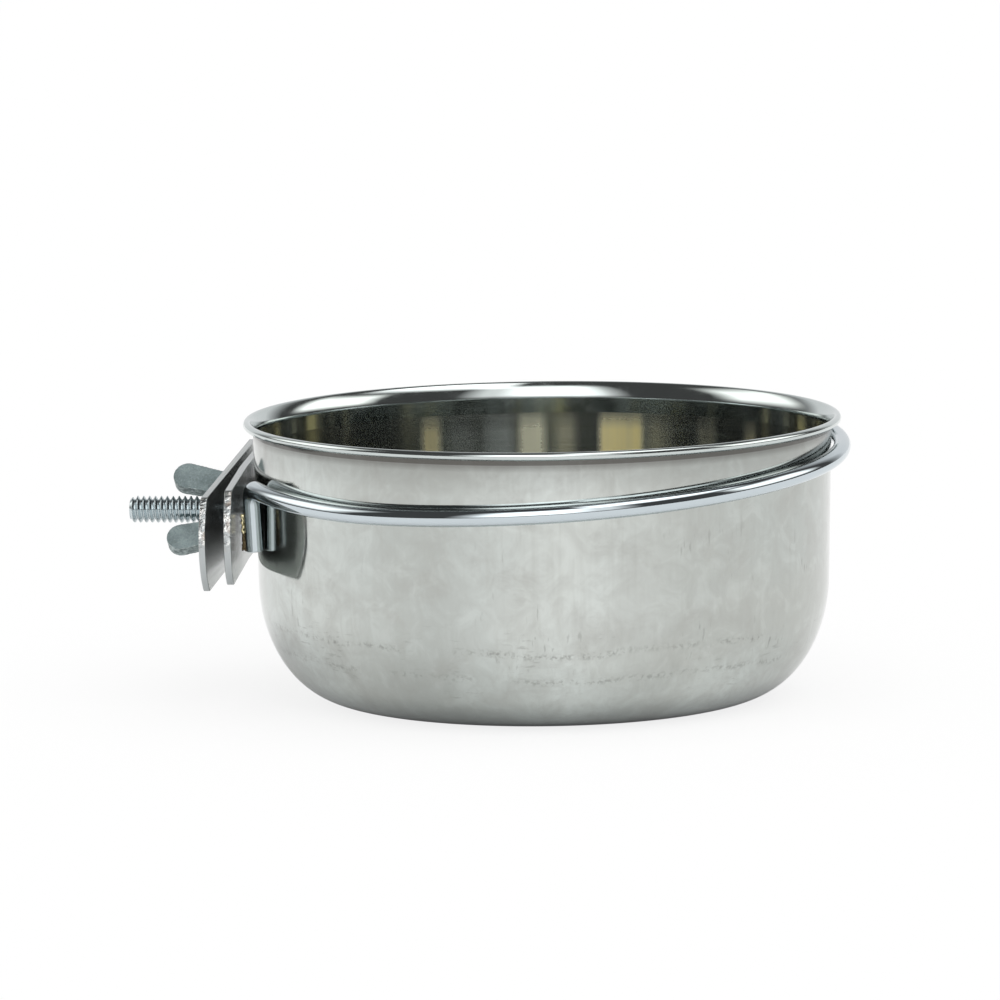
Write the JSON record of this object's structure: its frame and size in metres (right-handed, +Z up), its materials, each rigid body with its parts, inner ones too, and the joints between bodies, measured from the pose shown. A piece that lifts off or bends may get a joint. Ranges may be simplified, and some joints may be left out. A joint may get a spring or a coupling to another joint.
{
  "type": "seed cup",
  "caption": "Round drawn-steel seed cup with a rolled rim, carried in a wire ring whose two-jaw screw clamp grips cage bars and is tightened by a wing nut.",
  "frame": {"origin": "centre of the cup's flat base", "axes": "+Z up along the cup's axis, clamp and stud along -X, front of the picture towards -Y"},
  "size_m": [0.1278, 0.1082, 0.0494],
  "materials": {
    "drawn_steel": "polished, with faint vertical draw marks",
    "bright_wire": "bright plated wire",
    "jaw_strip": "polished strip with sheared ends",
    "zinc_plated_steel": "bright zinc plate",
    "cast_zinc": "matt as-cast zinc",
    "braze": "lumpy as-brazed"
  },
  "bodies": {
    "holder": {"holder_ring": "bright_wire", "inner_jaw": "jaw_strip", "clamp_stud": "zinc_plated_steel", "front_braze": "braze", "rear_braze": "braze"},
    "bowl": {"cup": "drawn_steel"},
    "loose_jaw": {"outer_jaw": "jaw_strip"},
    "nut": {"wing_nut": "cast_zinc"}
  },
  "joints": [
    {"name": "cup_lift", "type": "slide", "parent": "holder", "child": "bowl", "axis": [0, 0, 1], "range_m": [0, 0.06]},
    {"name": "jaw_slide", "type": "slide", "parent": "holder", "child": "loose_jaw", "axis": [-1, 0, 0], "range_m": [-0.00035, 0.0117]},
    {"name": "wing_nut_turn", "type": "hinge", "parent": "loose_jaw", "child": "nut", "pos_m": [-0.0563, 0, 0.0325], "axis": [-1, 0, 0], "range_deg": [-120, 3980]}
  ],
  "couplings": [
    {"joint": "wing_nut_turn", "follows": "jaw_slide", "rad_per_m": 5936.9}
  ]
}
